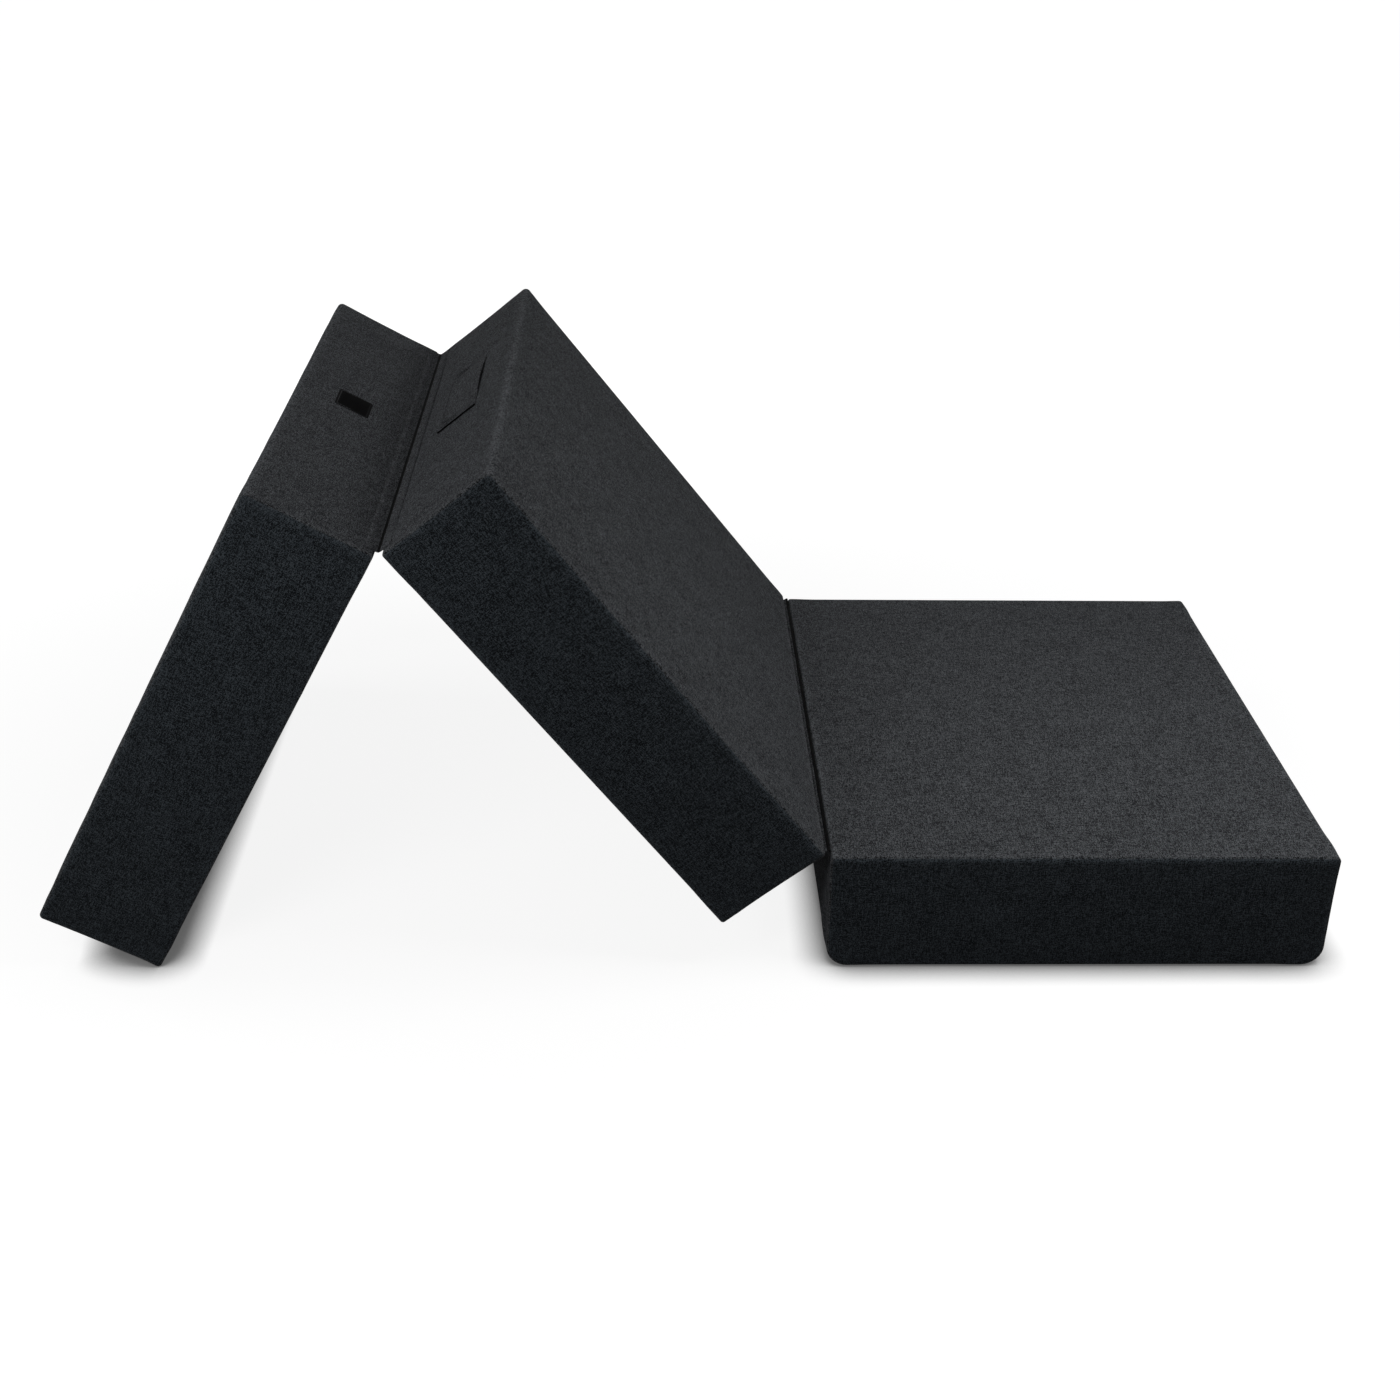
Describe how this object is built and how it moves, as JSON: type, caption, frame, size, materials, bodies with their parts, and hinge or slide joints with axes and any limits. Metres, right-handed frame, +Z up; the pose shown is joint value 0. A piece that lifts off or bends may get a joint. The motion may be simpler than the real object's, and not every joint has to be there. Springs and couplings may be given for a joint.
{
  "type": "folding mattress",
  "caption": "Tri-fold foam mattress in zipped fabric covers, standing part folded, with a hook patch and a sewn handle on its facing ends.",
  "frame": {"origin": "middle of the underside of the lying base panel, on the floor", "axes": "+X along the bed, from the tent of the middle and end panels towards the base panel's free end; +Y across the bed to its back; +Z up"},
  "size_m": [1.5982, 0.7921, 0.6512],
  "materials": {
    "cover_fabric": "matte",
    "border_fabric": "matte",
    "support_foam": "matte",
    "comfort_foam": "matte",
    "hook_tape": "matte",
    "zip_tape": "matte",
    "zip_nylon": "satin",
    "zip_metal": "satin"
  },
  "bodies": {
    "base": {"base_support_foam": "support_foam", "base_comfort_foam": "comfort_foam", "base_cover": "cover_fabric", "base_front_border": "border_fabric", "base_rear_border": "border_fabric", "base_zip_tape_upper": "zip_tape", "base_zip_tape_lower": "zip_tape", "base_zip_coil_upper": "zip_nylon", "base_zip_coil_lower": "zip_nylon", "fold_one_strip": "cover_fabric"},
    "middle": {"middle_support_foam": "support_foam", "middle_comfort_foam": "comfort_foam", "middle_cover": "cover_fabric", "middle_front_border": "border_fabric", "middle_rear_border": "border_fabric", "middle_zip_tape_upper": "zip_tape", "middle_zip_tape_lower": "zip_tape", "middle_zip_coil_upper": "zip_nylon", "middle_zip_coil_lower": "zip_nylon", "carry_handle": "cover_fabric", "fold_two_strip": "cover_fabric"},
    "end": {"end_support_foam": "support_foam", "end_comfort_foam": "comfort_foam", "end_cover": "cover_fabric", "end_front_border": "border_fabric", "end_rear_border": "border_fabric", "end_zip_tape_upper": "zip_tape", "end_zip_tape_lower": "zip_tape", "end_zip_coil_upper": "zip_nylon", "end_zip_coil_lower": "zip_nylon", "hook_patch": "hook_tape"},
    "base_slider": {"base_zip_slider": "zip_metal"},
    "base_pull": {"base_zip_pull": "zip_metal"},
    "middle_slider": {"middle_zip_slider": "zip_metal"},
    "middle_pull": {"middle_zip_pull": "zip_metal"},
    "end_slider": {"end_zip_slider": "zip_metal"},
    "end_pull": {"end_zip_pull": "zip_metal"}
  },
  "joints": [
    {"name": "fold_one", "type": "hinge", "parent": "base", "child": "middle", "pos_m": [-0.317, 0, 0.1623], "axis": [0, 1, 0], "range_deg": [-51.3, 128.7], "deforming": ["fold_one_strip"]},
    {"name": "fold_two", "type": "hinge", "parent": "middle", "child": "end", "pos_m": [-0.84179, 0, 0.55488], "axis": [0, -1, 0], "range_deg": [-113.18, 66.81], "deforming": ["fold_two_strip"]},
    {"name": "base_zip", "type": "slide", "parent": "base", "child": "base_slider", "axis": [-1, 0, 0], "range_m": [0, 0.545], "deforming": ["base_zip_coil_upper", "base_zip_coil_lower"]},
    {"name": "base_zip_tab", "type": "hinge", "parent": "base_slider", "child": "base_pull", "pos_m": [0.2727, 0.3966, 0.08], "axis": [0, 0, 1], "range_deg": [0, 180]},
    {"name": "middle_zip", "type": "slide", "parent": "middle", "child": "middle_slider", "axis": [-0.6252, 0, 0.7804], "range_m": [0, 0.545], "deforming": ["middle_zip_coil_upper", "middle_zip_coil_lower"]},
    {"name": "middle_zip_tab", "type": "hinge", "parent": "middle_slider", "child": "middle_pull", "pos_m": [-0.40893, 0.3966, 0.14542], "axis": [0.7804, 0, 0.6252], "range_deg": [0, 180]},
    {"name": "end_zip", "type": "slide", "parent": "end", "child": "end_slider", "axis": [0.4713, 0, 0.882], "range_m": [0, 0.545], "deforming": ["end_zip_coil_upper", "end_zip_coil_lower"]},
    {"name": "end_zip_tab", "type": "hinge", "parent": "end_slider", "child": "end_pull", "pos_m": [-1.19209, 0.3966, 0.07289], "axis": [0.882, 0, -0.4713], "range_deg": [0, 180]}
  ]
}
